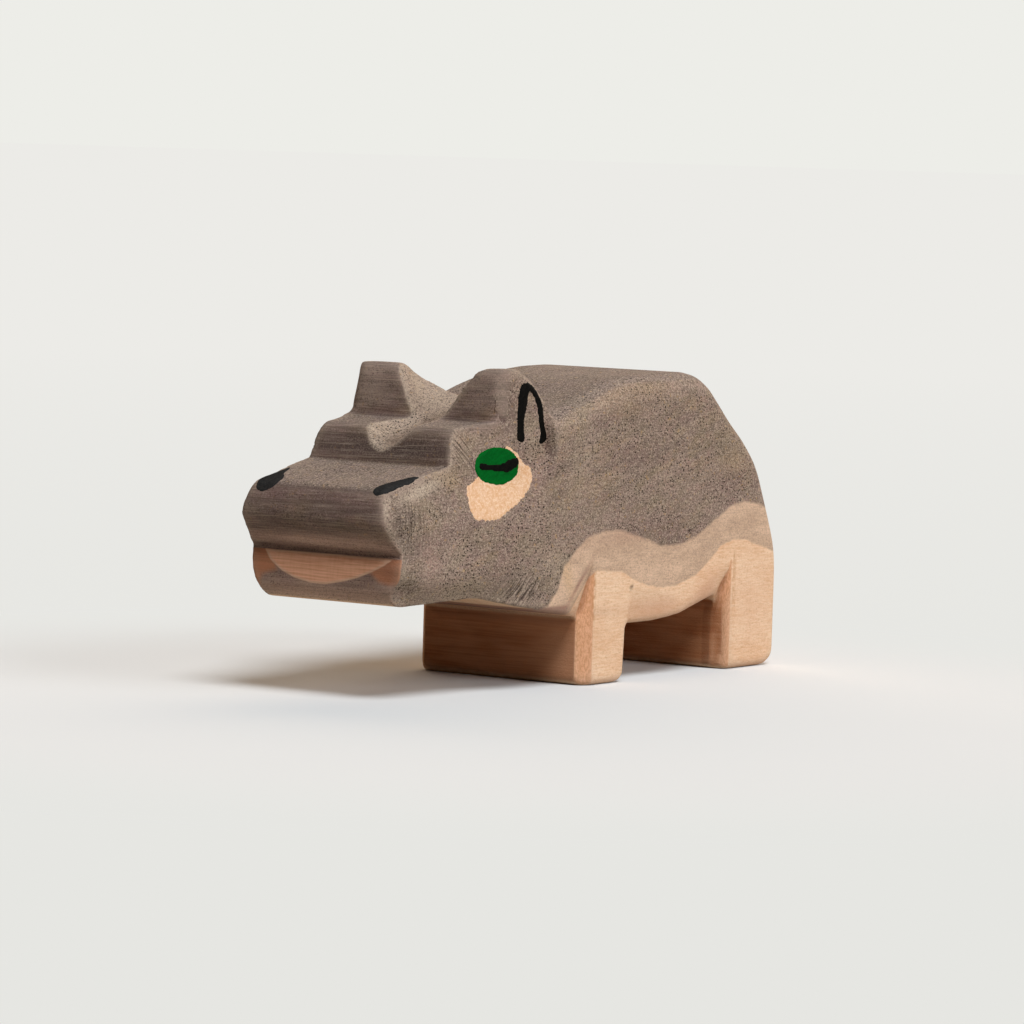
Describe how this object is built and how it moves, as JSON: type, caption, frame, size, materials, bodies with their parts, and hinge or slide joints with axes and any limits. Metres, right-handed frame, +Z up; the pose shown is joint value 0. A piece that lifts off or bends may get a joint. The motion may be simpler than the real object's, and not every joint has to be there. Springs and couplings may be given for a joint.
{
  "type": "hippo figurine",
  "caption": "Standing wooden hippo figurine, sawn from a thick plank, with a stepped brow, a groove between the ears, square-cut legs and hand-painted eyes, ears and nostrils.",
  "frame": {"origin": "on the ground, under the middle of the figurine's bounding box", "axes": "+X forward to the nose, +Y to the animal's left, +Z up"},
  "size_m": [0.13, 0.0406, 0.0616],
  "materials": {
    "stained_wood": "hand-sanded pale hardwood under a thin matt grey-brown stain, bare on the legs",
    "cream_paint": "thin matt brushed paint",
    "green_paint": "opaque brushed paint, silk",
    "black_paint": "opaque brushed paint, silk"
  },
  "bodies": {
    "root": {"carved_body": "stained_wood", "left_eye_patch": "cream_paint", "left_iris": "green_paint", "left_pupil": "black_paint", "left_ear_outline": "black_paint", "right_eye_patch": "cream_paint", "right_iris": "green_paint", "right_pupil": "black_paint", "right_ear_outline": "black_paint", "left_nostril": "black_paint", "right_nostril": "black_paint"}
  },
  "joints": []
}
